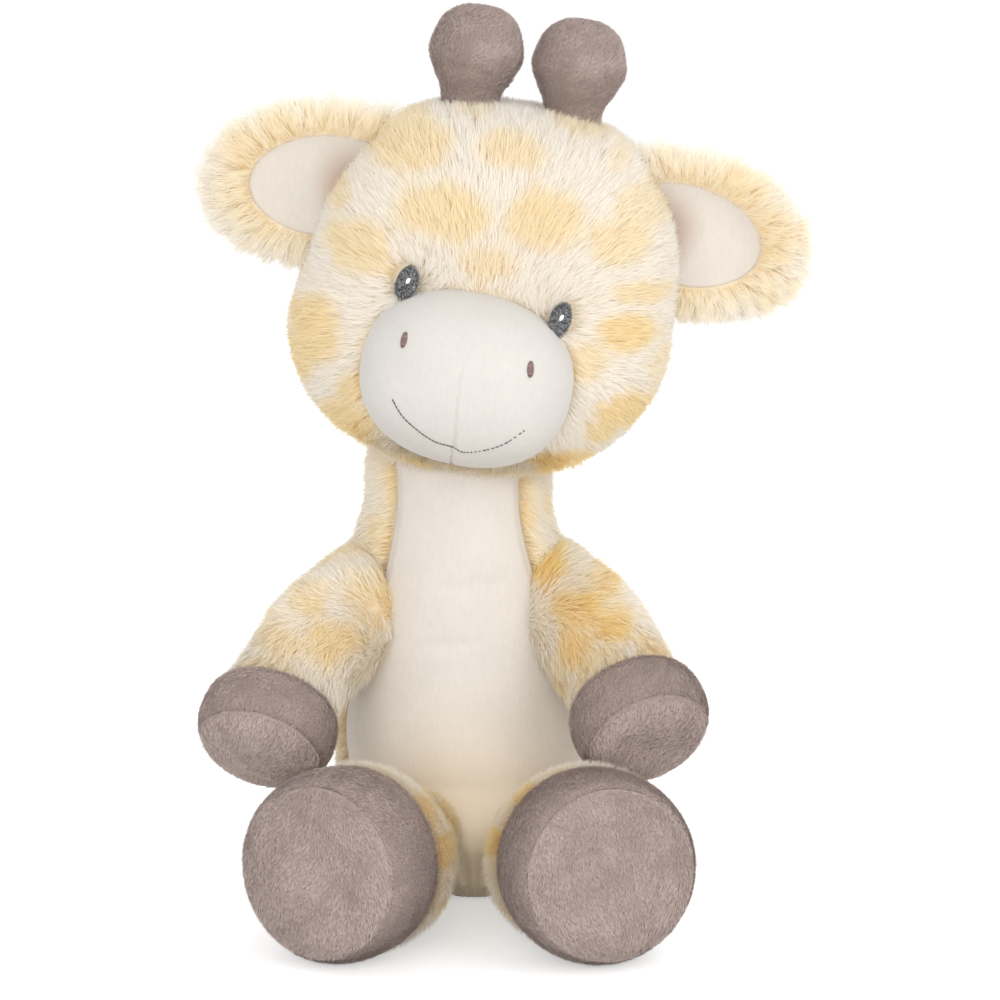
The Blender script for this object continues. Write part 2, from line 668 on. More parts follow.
# Head cover
# The head's cover is the same long-pile cloth, sewn from side and crown panels into a rounded box that is
# fuller at the cheeks. It leans to one side on the neck. The fur is brushed away from the muzzle and eyes.

HEAD_HALF = (62.3, 57, 59.5)
HEAD_OVERLAP = 21.2  # how far the neck's top reaches into the head
HEAD_PLACE = np.array((NECK_LEAN + 12.6, 2, TORSO_HEIGHT - HEAD_OVERLAP + HEAD_HALF[2]))
HEAD_ROLL = math.radians(8)
HEAD_PLAN_POWER = 2.3
CROWN_POWER = 2.8
JAW_POWER = 3.2
JOWL_SHIFT = 4.5


def turn_y(angle):
    """The matrix that turns about Y."""
    cos, sin = math.cos(angle), math.sin(angle)
    return np.array(((cos, 0, sin), (0, 1, 0), (-sin, 0, cos)))


def turn_z(angle):
    """The matrix that turns about Z."""
    cos, sin = math.cos(angle), math.sin(angle)
    return np.array(((cos, -sin, 0), (sin, cos, 0), (0, 0, 1)))


HEAD_TURN = turn_y(HEAD_ROLL)


def from_head(points):
    """Points in the head's own frame, placed in the row frame."""
    return points @ HEAD_TURN.T + HEAD_PLACE


def ball(rows, columns):
    """A unit ball: rows from the lower pole to the upper one, columns anticlockwise seen from above."""
    rise = np.linspace(0, math.pi, rows)[:, None]
    angle = np.linspace(0, 2 * math.pi, columns, endpoint=False)[None]
    x, y = np.sin(rise) * np.cos(angle), np.sin(rise) * np.sin(angle)
    return np.stack((x, y, -np.cos(rise) + 0 * angle), -1)


def squared(points, plan_power, height_power):
    """A unit ball's points pushed out towards a box; higher powers make squarer sections."""
    plan = np.abs(points[..., 0]) ** plan_power + np.abs(points[..., 1]) ** plan_power
    total = plan ** (height_power / plan_power) + np.abs(points[..., 2]) ** height_power
    return points / (total ** (1 / height_power))[..., None]


def head_section(share):
    """At a share of the head's half height: how much wider it is than its box, with full cheeks and a narrow
    crown; how far its middle is shifted to the side; and the power of its curve in height."""
    width = 1 + 0.05 * np.exp(-(((share + 0.35) / 0.3) ** 2)) - 0.07 * ease(0, 1, share)
    shift = JOWL_SHIFT * (1 - ease(-0.8, 0.7, share))
    return width, shift, np.where(share > 0, CROWN_POWER, JAW_POWER)


def head_form(inset, rows, columns):
    """The head in its own frame: a squared ball with full cheeks, its lower half shifted to the side."""
    points = ball(rows, columns)
    crown = squared(points, HEAD_PLAN_POWER, CROWN_POWER)
    jaw = squared(points, HEAD_PLAN_POWER, JAW_POWER)
    points = np.where(points[..., 2:] > 0, crown, jaw)
    share = points[..., 2]
    width, shift, _ = head_section(share)
    x = points[..., 0] * (HEAD_HALF[0] - inset) * width - shift
    y = points[..., 1] * (HEAD_HALF[1] - inset) * width
    return np.stack((x, y, share * (HEAD_HALF[2] - inset)), -1)


def head_front(x, z, grow=0.0):
    """The Y of the head's front at a place in its own frame, grown by a distance: the squared ball's rule
    solved for Y."""
    share = z / (HEAD_HALF[2] + grow)
    width, shift, power = head_section(share)
    side = np.abs((x + shift) / ((HEAD_HALF[0] + grow) * width))
    room = np.maximum(1 - np.abs(share) ** power, 0) ** (HEAD_PLAN_POWER / power) - side**HEAD_PLAN_POWER
    return -((HEAD_HALF[1] + grow) * width) * np.maximum(room, 0) ** (1 / HEAD_PLAN_POWER)


head_skin = from_head(head_form(FUR_INSET, 100, 130))
head_backing = shell("head_backing", head_skin, fur_backing, "head")
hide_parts("head_fur_cover")

# The face's own frame, turned a little to one side and rolled a little further than the head
FACE_TURN = turn_y(math.radians(4.6)) @ turn_z(math.radians(-4.8))
MUZZLE_HALF = (35, 29, 28.8)
MUZZLE_POWER = 2.3
MUZZLE_REAR = 14
MUZZLE_PLACE = np.array((0, -50, -24.3))
EYE_PLACES = {"left": (-25.5, 2.3), "right": (26.0, 1.6)}
EYE_DEPTH = -55.0
EYE_HALF = (3.6, 5.7)
EYE_SLANT = {"left": math.radians(10), "right": math.radians(3)}


def from_face(points):
    """Points in the face's frame, placed in the head's."""
    return points @ FACE_TURN.T


def inside_muzzle(points, grow):
    """Whether points of the head's frame lie inside the muzzle, grown by a distance."""
    local = points @ FACE_TURN - MUZZLE_PLACE
    half = np.tile(np.array(MUZZLE_HALF, float), (len(points), 1))
    half[local[:, 1] >= 0, 1] = MUZZLE_REAR
    return np.sum(np.abs(local / (half + grow)) ** MUZZLE_POWER, axis=1) < 1


# Pale-yellow spots on the front of the head: place across and up in the head's frame, half width, half
# height and strength
HEAD_SPOTS = [
    (-36.4, 45, 16.4, 8.2, 1.0), (-1.3, 47.9, 11.6, 4.8, 0.9), (-16.4, 56.4, 8.9, 3.4, 0.6),
    (21.8, 56.5, 12.3, 5.5, 0.9), (-55.3, 25.9, 5.8, 6.5, 0.9), (-22, 27.5, 14.4, 8.6, 1.0),
    (10.4, 30.2, 12.2, 9.6, 1.0), (-45.8, 11.8, 10.9, 9.2, 1.0), (-4.2, 14.8, 9.6, 4.8, 0.8),
    (-65.4, -1.3, 4.8, 6.1, 0.8), (-55.5, -17.5, 9.2, 11, 1.2), (-61.5, -29, 7, 9, 1.2),
    (-42.8, -34, 4, 6.5, 1.1), (36.6, 24.9, 11.6, 7.5, 0.9),
    (42.9, 36, 10.2, 8.2, 0.8), (45, 10, 10.5, 3.9, 1.0), (43, -3.4, 10.2, 7.5, 1.3),
    (31.8, -13.4, 7, 6.2, 0.9), (46.3, -30, 11.6, 8, 1.3),
    (39, -36.5, 5.5, 5.5, 1.2), (-42.2, -44.5, 11.6, 7.5, 1.2), (-21.1, -57.1, 13.7, 5.5, 1.3),
    (31, -49, 11.6, 5.8, 1.35), (-46.3, 53.2, 7.5, 3.4, 0.7), (31.3, 47.9, 4.1, 3.4, 0.6),
    (55.9, -16.4, 5.5, 8.9, 0.7),
]
FUR_FOCUS = np.array((-2, -74, -16))  # the fur is brushed away from here, in front of the nose's bridge

eyes = [from_face(np.array((eye_x, EYE_DEPTH, eye_z))) for eye_x, eye_z in EYE_PLACES.values()]
roots, outward = sow(head_form(FUR_INSET, 300, 400), FUR_PER_MM2, seed=31)
x, y, z = roots.T
in_neck = (z < -42) & (np.hypot(x + 8, y) < 24)  # the cover is open here, where the neck comes in
in_eye = np.zeros(len(roots), bool)
for middle in eyes:
    in_eye |= (y < 0) & (np.hypot((x - middle[0]) / EYE_HALF[0], (z - middle[2]) / EYE_HALF[1]) < 0.8)
kept = ~in_neck & ~in_eye & ~inside_muzzle(roots, -1.5) & kept_behind(y, 34)
roots, outward = roots[kept], outward[kept]
x, y, z = roots.T
comb = unit(roots - FUR_FOCUS) + np.array((0, 0, -0.15))
crown = ease(38, 52, z)
upright = 0.4 + 0.45 * crown
for middle in eyes:
    from_eye = roots - middle
    away = np.linalg.norm(from_eye, axis=1)
    comb = comb + 1.6 * np.exp(-((away[:, None] / 13) ** 2)) * unit(from_eye)
    upright = upright + 0.35 * np.exp(-((away / 9) ** 2))
spots = named_spots(roots + TIP_SHIFT * flat_on(comb, outward), HEAD_SPOTS)
at_back = ease(-8, 12, y)
spots = spots * (1 - at_back) + at_back * blotches(roots, 27, 7, 14)
spots = np.maximum(spots, 0.8 * ease(-44, -56, z) * (1 - at_back))
chin = (ease(-23, -29, y) * ease(-43, -49, z))[:, None]  # here the pile hangs over the panel's top
comb = mix(comb, np.array((0, -1.0, -0.3)), chin)
length = mix(FUR_LENGTH + 2 * crown[:, None], 12, chin)
front, left = y < 0, x < -2
head_panels = {
    "_front_left": front & left, "_front_right": front & ~left,
    "_back_left": ~front & left, "_back_right": ~front & ~left,
}
grow("head_pile", from_head(roots), outward @ HEAD_TURN.T, comb @ HEAD_TURN.T, 0.56 * spots, fur_finish,
     "long_fur", "head", length, strand_width(y), mix(upright[:, None], 0.85, chin),
     stray=0.17, tuft=5, pull=0.3, seed=32, panels=head_panels)

# Muzzle
# A firmly stuffed egg of off-white velour, set into the front of the head's cover. A seam runs down its
# middle from the nose to the chin.


def muzzle_form(rows, columns):
    """A squared ball, longer in front than behind, with the middle seam pressed in a little, in the
    head's frame."""
    grid = squared(ball(rows, columns), MUZZLE_POWER, MUZZLE_POWER) * MUZZLE_HALF
    grid[..., 1] *= np.where(grid[..., 1] < 0, 1, MUZZLE_REAR / MUZZLE_HALF[1])
    seam_x = np.interp(grid[..., 2], (-29, -19.3, -3.5, 10.3), (1.8, 2.2, -0.1, -1.2))
    deep = mix(0.7, 0.25, ease(-22, 6, grid[..., 2])) * ease(12, 7, grid[..., 2])
    groove = deep * np.exp(-(((grid[..., 0] - seam_x) / 0.55) ** 2)) * (grid[..., 1] < 0)
    grid = grid - groove[..., None] * unit(grid)
    return from_face(grid + MUZZLE_PLACE)


muzzle_velour = velour_finish("muzzle_velour", (214, 210, 204), 0.2)
muzzle = shell("muzzle_velour", from_head(muzzle_form(96, 540)), muzzle_velour, "head")
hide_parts("muzzle")

# Embroidery
# The eyes are grey satin stitch with a white glint, the nostrils brown satin stitch and the smile one line
# of back stitch, all sewn through the cloth. A stitch is a short raised run of thread, dipped at both ends.


def muzzle_front(x, z, grow=0.0):
    """The Y of the muzzle's front at a place in the face's frame."""
    across = np.abs(x / (MUZZLE_HALF[0] + grow)) ** MUZZLE_POWER
    up = np.abs((z - MUZZLE_PLACE[2]) / (MUZZLE_HALF[2] + grow)) ** MUZZLE_POWER
    room = np.maximum(1 - (across + up), 0.01)
    return MUZZLE_PLACE[1] - (MUZZLE_HALF[1] + grow) * room ** (1 / MUZZLE_POWER)


def on_muzzle(x, z, grow):
    """Points in the row frame on the muzzle's front, at a place in the face's frame."""
    return from_head(from_face(np.stack((x, muzzle_front(x, z, grow), z), -1)))


def on_head(x, z, grow):
    """Points in the row frame on the head's front, at a place in the face's frame."""
    x, _, z = np.moveaxis(from_face(np.stack((x, 0 * x + EYE_DEPTH, z), -1)), -1, 0)
    return from_head(np.stack((x, head_front(x, z, grow), z), -1))


def stitches(name, starts, ends, surface, radius, rise, finish, tones):
    """Runs of thread from starts to ends, places on a surface: each is a tube of six sides whose middle
    line rises over the surface as half a sine and whose radius narrows at both ends. Each has a tone."""
    count, steps, sides = len(starts), 7, 6
    share = np.linspace(0, 1, steps)[None, :, None]
    flat = mix(np.asarray(starts, float)[:, None], np.asarray(ends, float)[:, None], share)
    low = surface(flat[..., 0], flat[..., 1], 0.0)
    outer = surface(flat[..., 0], flat[..., 1], 1.0)
    up = unit(outer - low)
    arch = np.sin(math.pi * share)
    line = low + up * rise * arch
    tangent = unit(np.gradient(line, axis=1))
    side = unit(np.cross(tangent, up))
    over = np.cross(side, tangent)
    angle = np.linspace(0, 2 * math.pi, sides, endpoint=False)
    thick = (radius * mix(0.35, 1, np.sqrt(arch)))[..., None]
    around = np.cos(angle)[:, None] * side[:, :, None] + np.sin(angle)[:, None] * over[:, :, None]
    tube = line[:, :, None] + thick * around
    ring = np.arange(sides)
    following = (ring + 1) % sides
    base = np.arange(steps - 1)[:, None] * sides
    above = base + sides
    quads = np.stack((base + ring, base + following, above + following, above + ring), -1).reshape(-1, 4)
    first = np.arange(count)[:, None] * steps * sides
    faces = (quads[None] + first[:, None]).reshape(-1, 4).tolist()
    caps = (first + ring[::-1]).tolist() + (first + (steps - 1) * sides + ring).tolist()
    piece = link_piece(name, tube.reshape(-1, 3), faces + caps, finish, "head")
    tone = piece.data.attributes.new("tone", "FLOAT", "POINT")
    tone.data.foreach_set("value", np.repeat(tones, steps * sides).astype(np.float32))


def thread_finish(name, dark, light):
    """Rayon embroidery thread: a colour from dark to light by the stitch's own tone, fine twist as bump,
    and a low gloss."""
    finish, add, join, output = new_finish(name)
    shader = add("BsdfPrincipled", {"Roughness": 0.5, "Specular IOR Level": 0.4, "Sheen Weight": 0.15})
    tone = add("Attribute", attribute_name="tone")
    ramp = add("ValToRGB")
    ramp.color_ramp.elements[0].color = srgb(*dark)
    ramp.color_ramp.elements[1].color = srgb(*light)
    place = add("TexCoord")
    twist = add("TexNoise", {"Scale": 3500})
    bump = add("Bump", {"Strength": 0.3, "Distance": 0.0001})
    join(tone, "Fac", ramp, "Fac")
    join(ramp, "Color", shader, "Base Color")
    join(place, "Object", twist, "Vector")
    join(twist, "Fac", bump, "Height")
    join(bump, "Normal", shader, "Normal")
    join(shader, "BSDF", output, "Surface")
    return finish


grey_thread = thread_finish("grey_thread", (66, 65, 66), (168, 170, 172))
white_thread = thread_finish("white_thread", (225, 226, 228), (255, 255, 255))
brown_thread = thread_finish("brown_thread", (106, 82, 79), (158, 132, 127))
smile_thread = thread_finish("smile_thread", (78, 72, 70), (122, 114, 110))


def on_oval(place, half, slant, radius, angle):
    """Places across and up, at a share of the radius and at an angle of an oval that leans by its slant."""
    u, v = radius * half[0] * np.cos(angle), radius * half[1] * np.sin(angle)
    x = place[0] + u * math.cos(slant) + v * math.sin(slant)
    return x, place[1] - u * math.sin(slant) + v * math.cos(slant)


def oval_patch(name, place, half, slant, surface, low, dome, finish):
    """The padded oval under satin stitch: rings of an ellipse on a surface, domed to its middle and
    closed underneath."""
    share = np.linspace(0, 1, 14)[:, None]
    x, z = on_oval(place, half, slant, share, np.linspace(0, 2 * math.pi, 48, endpoint=False)[None])
    base = surface(x, z, 0.0)
    up = unit(surface(x, z, 1.0) - base)
    top = base + up * (low + dome * np.sqrt(np.maximum(1 - share**2, 0)))[..., None]
    under = base + up * (low - 1.5)
    closed = np.concatenate((under[:1], under[-1:], top[::-1][1:]))
    return shell(name, closed, finish, "head")


EYE_LEVEL = 1.1  # the embroidery stands this far above the middle of the pile
EYE_SEEDS = {"left": 41, "right": 42}


def satin_eye(side):
    """An eye: a padded oval, an iris of short mottled stitches that run every way, a dark rim of radial
    stitches, and a white glint of six upright stitches, longest in its middle."""
    place = EYE_PLACES[side]
    chance = np.random.default_rng(EYE_SEEDS[side])

    def at(radius, angle):
        return np.stack(on_oval(place, EYE_HALF, EYE_SLANT[side], radius, angle), -1)

    def raised(x, z, grow):
        return on_head(x, z, EYE_LEVEL + 0.55 + grow)

    patch = oval_patch(f"eye_{side}_padding", place, EYE_HALF, EYE_SLANT[side], on_head, EYE_LEVEL - 0.3, 0.8,
                       grey_thread)
    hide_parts(f"eye_{side}")
    iris = 330
    middle = at(np.sqrt(chance.random(iris)) * 0.86, chance.uniform(0, 2 * math.pi, iris))
    run = chance.uniform(0, 2 * math.pi, iris)
    half_run = 0.36 * np.stack((np.cos(run), np.sin(run)), -1)
    stitches(f"eye_{side}_iris", middle - half_run, middle + half_run, raised, 0.12, 0.24, grey_thread,
             chance.uniform(0.0, 1.0, iris) ** 1.3)
    rim = 84
    angle = np.linspace(0, 2 * math.pi, rim, endpoint=False)
    outer = at(chance.uniform(0.95, 1.14, rim), angle + 0.08)
    stitches(f"eye_{side}_rim", at(0.88, angle), outer, raised, 0.13, 0.3, grey_thread,
             chance.uniform(0.0, 0.45, rim))
    across = np.linspace(-0.5, 0.5, 6)
    middle = at(0, 0) + np.array((0.2, 0.9)) + np.stack((across, 0.35 * across), -1)
    reach = np.stack((0.1 + 0 * across, 1.3 - 0.9 * np.abs(across)), -1)
    stitches(f"eye_{side}_glint", middle - reach, middle + reach, raised, 0.17, 0.5, white_thread,
             np.full(6, 0.8))


for side in EYE_PLACES:
    satin_eye(side)

NOSTRIL_PLACES = {"left": (-21.1, -13.6), "right": (20.8, -13.5)}
NOSTRIL_SLANT = {"left": math.radians(-2), "right": math.radians(-12)}
NOSTRIL_HALF = (1.0, 2.5)
NOSTRIL_ROWS = 15

for side, place in NOSTRIL_PLACES.items():
    slant = NOSTRIL_SLANT[side]
    patch = oval_patch(f"nostril_{side}_padding", place, NOSTRIL_HALF, slant, on_muzzle, -0.2, 0.5,
                       brown_thread)
    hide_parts(f"nostril_{side}")
    rows = np.linspace(-0.95, 0.95, NOSTRIL_ROWS)
    wide = NOSTRIL_HALF[0] * np.sqrt(1 - rows**2) + 0.15
    x = place[0] + rows * NOSTRIL_HALF[1] * math.sin(slant)
    z = place[1] + rows * NOSTRIL_HALF[1]
    stitches(f"nostril_{side}_satin", np.stack((x - wide, z - 0.15), -1), np.stack((x + wide, z + 0.15), -1),
             on_muzzle, 0.22, 0.5, brown_thread, np.random.default_rng(43).uniform(0.1, 0.9, NOSTRIL_ROWS))

# The smile's places across and up in the face's frame, from its left end to its right one
SMILE = [
    (-20.6, -33.2), (-16.2, -37.8), (-10.2, -41.3), (-4.2, -43.7), (1.8, -44.1), (5.5, -45.2),
    (11.6, -43.1), (17.9, -39.3), (23.7, -33.1),
]
SMILE_STITCHES = 40
smile_line = spline(SMILE, np.linspace(0, 1, SMILE_STITCHES + 1))
starts, ends = smile_line[:-1], smile_line[1:]
apart = starts[:, :1] > 1.6  # to the right of the seam the stitches lie apart
shortened = mix(starts, ends, np.random.default_rng(45).uniform(0.4, 0.9, (SMILE_STITCHES, 1)))
stitches("smile", starts, np.where(apart, shortened, ends), on_muzzle, 0.24, 0.22, smile_thread,
         np.random.default_rng(44).uniform(0, 0.7, SMILE_STITCHES))

# Horns
# Two stuffed knobs on short stems, of grey-brown short-pile plush, sewn into the crown. The pile is combed
# up the stem and round the knob.

HORN_SPACING = 34.8
HORN_ROOT = 46
STEM_RADIUS = 10.3
KNOB_HEIGHT = 77.5
KNOB_RADIUS = 16.2
HORN_TOP = 93.8
HORN_OUTLINE = [
    (STEM_RADIUS, HORN_ROOT),
    (STEM_RADIUS, mix(HORN_ROOT, KNOB_HEIGHT, 0.52)),
    (mix(STEM_RADIUS, KNOB_RADIUS, 0.55), mix(HORN_ROOT, KNOB_HEIGHT, 0.76)),
    (KNOB_RADIUS, KNOB_HEIGHT),
    (0.82 * KNOB_RADIUS, mix(KNOB_HEIGHT, HORN_TOP, 0.62)),
    (0.45 * KNOB_RADIUS, mix(KNOB_HEIGHT, HORN_TOP, 0.93)),
    (0, HORN_TOP),
]
PLUSH_INSET = 0.9
PLUSH_LENGTH = 2.2
PLUSH_WIDTH = 0.22
PLUSH_PER_MM2 = 7.0

plush_backing = backing_finish("plush_backing", (186, 168, 160))
plush_finish = pile_finish(
    "short_plush",
    roots=((160, 142, 134), (184, 166, 158), (204, 186, 178)),
    tips=((195, 178, 171), (218, 203, 196), (240, 229, 222)),
    through=0.3,
    sheen=0.3,
)


def turned_form(wall, inset, rows, columns):
    """A wall of radius and height carried round Z, drawn in by an inset, closed to its axis at both ends."""
    profile = spline(wall, np.linspace(0, 1, rows))
    slope = unit(np.gradient(profile, axis=0))
    profile = profile - inset * np.stack((slope[:, 1], -slope[:, 0]), -1)
    profile[:, 0] = np.maximum(profile[:, 0], 0)
    profile = np.concatenate(([(0, profile[0, 1])], profile, [(0, profile[-1, 1])]))
    angle = np.linspace(0, 2 * math.pi, columns, endpoint=False)
    x, y = profile[:, :1] * np.cos(angle), profile[:, :1] * np.sin(angle)
    return np.stack((x, y, profile[:, 1:] + 0 * x), -1)


def grow_plush(name, roots, outward, comb, tone, body, seed):
    """Short dense plush pile on the roots."""
    grow(name, roots, outward, comb, tone, plush_finish, "short_plush", body, PLUSH_LENGTH, PLUSH_WIDTH, 0.35,
         stray=0.3, tuft=1.3, pull=0.3, seed=seed)


SIGNS = {"left": -1, "right": 1}

for side, sign in SIGNS.items():
    middle = np.array((sign * HORN_SPACING / 2, 0, 0))
    skin = from_head(turned_form(HORN_OUTLINE, PLUSH_INSET, 60, 64) + middle)
    horn = shell(f"horn_{side}_backing", skin, plush_backing, "head")
    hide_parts(f"horn_{side}")
    roots, outward = sow(turned_form(HORN_OUTLINE, PLUSH_INSET, 120, 128), PLUSH_PER_MM2, seed=51 + sign)
    kept = roots[:, 2] > HORN_ROOT + 4  # the stem's foot is inside the crown
    roots, outward = roots[kept], outward[kept]
    comb = np.array((0.35, 0.1, 1.0)) - 0.6 * roots * np.array((0, 0, 0.01))
    tone = 0.1 + 0.3 * drift(roots, 5)[:, 0] + 0.15 * drift(roots, 1.6)[:, 1]
    grow_plush(f"horn_{side}_pile", from_head(roots + middle), outward @ HEAD_TURN.T, comb @ HEAD_TURN.T,
               tone, "head", seed=53 + sign)

# Ears
# Each ear is two layers sewn together at the edge of a dished velour lining: the fur of the back comes
# round the rim as a fringe. The ear bends where it is sewn to the head.

EAR_MIDDLE = (60, 0, 26.5)
EAR_HALF = (41, 7.5, 26)
EAR_SLOPE = 0.08
EAR_SWEEP = math.radians(8)
EAR_PLAN_POWER = 2.3
LINING_HALF = (28, 17.5)
LINING_COLOUR = (217, 210, 201)
HOLLOW_COLOUR = (180, 152, 134)
HOLLOW_REACH = 18
DISH_DEPTH = 4.5
EAR_INSET = 2.6
EAR_FUR_LENGTH = 10.2


def ear_form(sign, rows, columns):
    """The ear in its own frame: a squared ball pressed flat; rows run from the middle of the back, round the
    rim, to the middle of the front, and columns go round the rim."""
    flat = squared(ball(rows, columns), EAR_PLAN_POWER, 2)
    x = flat[..., 0] * (EAR_HALF[0] - EAR_INSET)
    y = -flat[..., 2] * (EAR_HALF[1] - EAR_INSET)
    z = flat[..., 1] * (EAR_HALF[2] - EAR_INSET)
    return np.stack((x, y, z - sign * EAR_SLOPE * x), -1)


def in_head(points, grow):
    """Whether points of the head's own frame lie inside the head, grown by a distance."""
    share = np.clip(points[:, 2] / (HEAD_HALF[2] + grow), -1, 1)
    width, shift, power = head_section(share)
    side = np.abs((points[:, 0] + shift) / ((HEAD_HALF[0] + grow) * width))
    deep = np.abs(points[:, 1] / ((HEAD_HALF[1] + grow) * width))
    plan = side**HEAD_PLAN_POWER + deep**HEAD_PLAN_POWER
    return plan ** (power / HEAD_PLAN_POWER) + np.abs(share) ** power < 1


for side, sign in SIGNS.items():
    ear_turn = turn_z(sign * EAR_SWEEP)
    ear_place = np.array((sign * EAR_MIDDLE[0], 0, EAR_MIDDLE[2]))

    def from_ear(points):
        """Points in the ear's frame, placed in the row frame."""
        return from_head(points @ ear_turn.T + ear_place)

    hollow_place = from_ear(np.array((-sign * 8.0, 0, 1)))
    ear_velour = velour_finish(
        f"ear_velour_{side}", LINING_COLOUR, 0.2, HOLLOW_COLOUR, hollow_place, HOLLOW_REACH)

    def lining_share(points):
        """How far out a point of the ear's frame lies, 1 at the lining's seam."""
        upright = points[..., 2] + sign * EAR_SLOPE * points[..., 0]
        return np.hypot(points[..., 0] / LINING_HALF[0], upright / LINING_HALF[1])

    def dished(form):
        """The form with its front pressed in under the lining."""
        press = DISH_DEPTH * np.maximum(1 - lining_share(form) ** 2, 0) ** 0.7 * (form[..., 1] < 0)
        return form + np.stack((0 * press, press, 0 * press), -1)

    skin = from_ear(dished(ear_form(sign, 60, 90)))
    backing = shell(f"ear_{side}_backing", skin, fur_backing, f"ear_{side}")
    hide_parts(f"ear_{side}_fur")
    share = np.linspace(0, 1.03, 60)[:, None]
    angle = np.linspace(0, 2 * math.pi, 120, endpoint=False)[None]
    lining_x = share * LINING_HALF[0] * np.cos(angle)
    lining_z = share * LINING_HALF[1] * np.sin(angle)
    edge_x, edge_z = EAR_HALF[0] - 1, EAR_HALF[2] - 1
    bulge = np.maximum(1 - (lining_x / edge_x) ** 2 - (lining_z / edge_z) ** 2, 0) ** 0.5
    dish = DISH_DEPTH * np.maximum(1 - share**2, 0) ** 0.7 - (EAR_HALF[1] - EAR_INSET) * bulge
    seam = 1.6 * ease(0.93, 1.02, share)
    front = np.stack((lining_x, dish - 0.9 + seam, lining_z - sign * EAR_SLOPE * lining_x), -1)
    back = front[::-1] + np.array((0, 0.8, 0))
    skin = from_ear(np.concatenate((front, back))[:, ::-1])
    lining = shell(f"ear_{side}_velour", skin, ear_velour, f"ear_{side}")
    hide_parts(f"ear_{side}_lining")
    roots, outward = sow(ear_form(sign, 160, 240), FUR_PER_MM2, seed=61 + sign)
    on_lining = (roots[:, 1] < 0) & (lining_share(roots) < 0.93)
    kept = ~in_head(roots @ ear_turn.T + ear_place, -5) & ~on_lining
    roots, outward = roots[kept], outward[kept]
    radial = roots * np.array((1, 0, 1.4))
    in_front = ease(2, -2, roots[:, 1])[:, None]
    comb = unit(radial) * mix(0.6, 1, in_front) + np.array((sign * 0.8, 0, -0.1)) * (1 - in_front)
    spots = np.maximum(blotches(roots, 17, 4, 10), 0.25 * ease(0.3, -0.3, drift(roots, 14)[:, 2]))
    spots = spots + 0.45 * (nearest_tuft(roots, 5)[2] - 0.4)
    # Beside the lining the pile stands up and its warm roots show
    at_seam = ease(1.3, 0.96, lining_share(roots)) * (roots[:, 1] < 0)
    spots = np.clip(spots + 1.1 * at_seam, 0, 1.6)
    grow(f"ear_{side}_pile", from_ear(roots), outward @ ear_turn.T @ HEAD_TURN.T,
         comb @ ear_turn.T @ HEAD_TURN.T, 0.32 * spots, fur_finish, "long_fur", f"ear_{side}", EAR_FUR_LENGTH,
         FUR_WIDTH, mix(0.4, 0.75, at_seam[:, None]), tuft=4.6, pull=0.75, seed=63 + sign)

# Arms and legs
# Each limb is a long-pile sleeve, stuffed and sewn to the torso at its root, and at its far end to a hoof of
# short-pile plush: a band round the side and a round sole. Brushing has matted the arms' pile in tufts.

# Each side's turns and pitch in degrees, the way from its foot to its hand, and how far the arm is tucked in
SIDES = {
    "left": dict(foot_turn=30, hand_turn=20, hand_pitch=40, hand_lift=(23.6, 40.6, 34.9), tuck=6),
    "right": dict(foot_turn=17, hand_turn=22, hand_pitch=34, hand_lift=(14.1, 42.4, 37.6), tuck=0),
}
HIP = (24, -32, 23)
FULL_TURN = dict(leg=70, arm=-45)  # the joint's other limit, in degrees about +X
FOOT = dict(cuff=29.5, widest=31.8, seam=28.6, length=27, dome=6.5)
HAND = dict(cuff=19.3, widest=23.5, seam=21, length=19, dome=6)
FOOT_PITCH = 4
HOOF_BELLY = 0.6  # how far along a hoof it is widest
HAND_REST = 4
LEG_RADII = (18.5, 22.5, 31)  # at the root, the middle and the hoof
ARM_RADII = (20, 21.5, 19.3)
SHOULDER_HEIGHT = 102
SHOULDER_INSET = 5.5  # the joint lies this far inside the torso's side
ARM_SET_IN = 2.5  # and the sleeve is gathered this much further in, over the panel's edge
FOOT_PLACE = (12, -54)  # where the foot's back lies from the hip, to the side and in front


def aim(sign, turn, pitch):
    """The direction given by its turn to the side and its pitch up, in degrees."""
    turn, pitch = math.radians(turn), math.radians(pitch)
    level = math.cos(pitch)
    return np.array((sign * math.sin(turn) * level, -math.cos(turn) * level, math.sin(pitch)))


def turn_up_to(direction):
    """The shortest turn that takes +Z to a direction, as a matrix."""
    x, y, z = direction
    cross = np.array(((0, 0, x), (0, 0, y), (-x, -y, 0)))
    return np.eye(3) + cross + cross @ cross / (1 + z)


def bend_line(bend, end, share):
    """A line from the origin to an end, bent towards a third point: the quadratic curve of the three."""
    share = share[..., None]
    return 2 * share * (1 - share) * bend + share**2 * end


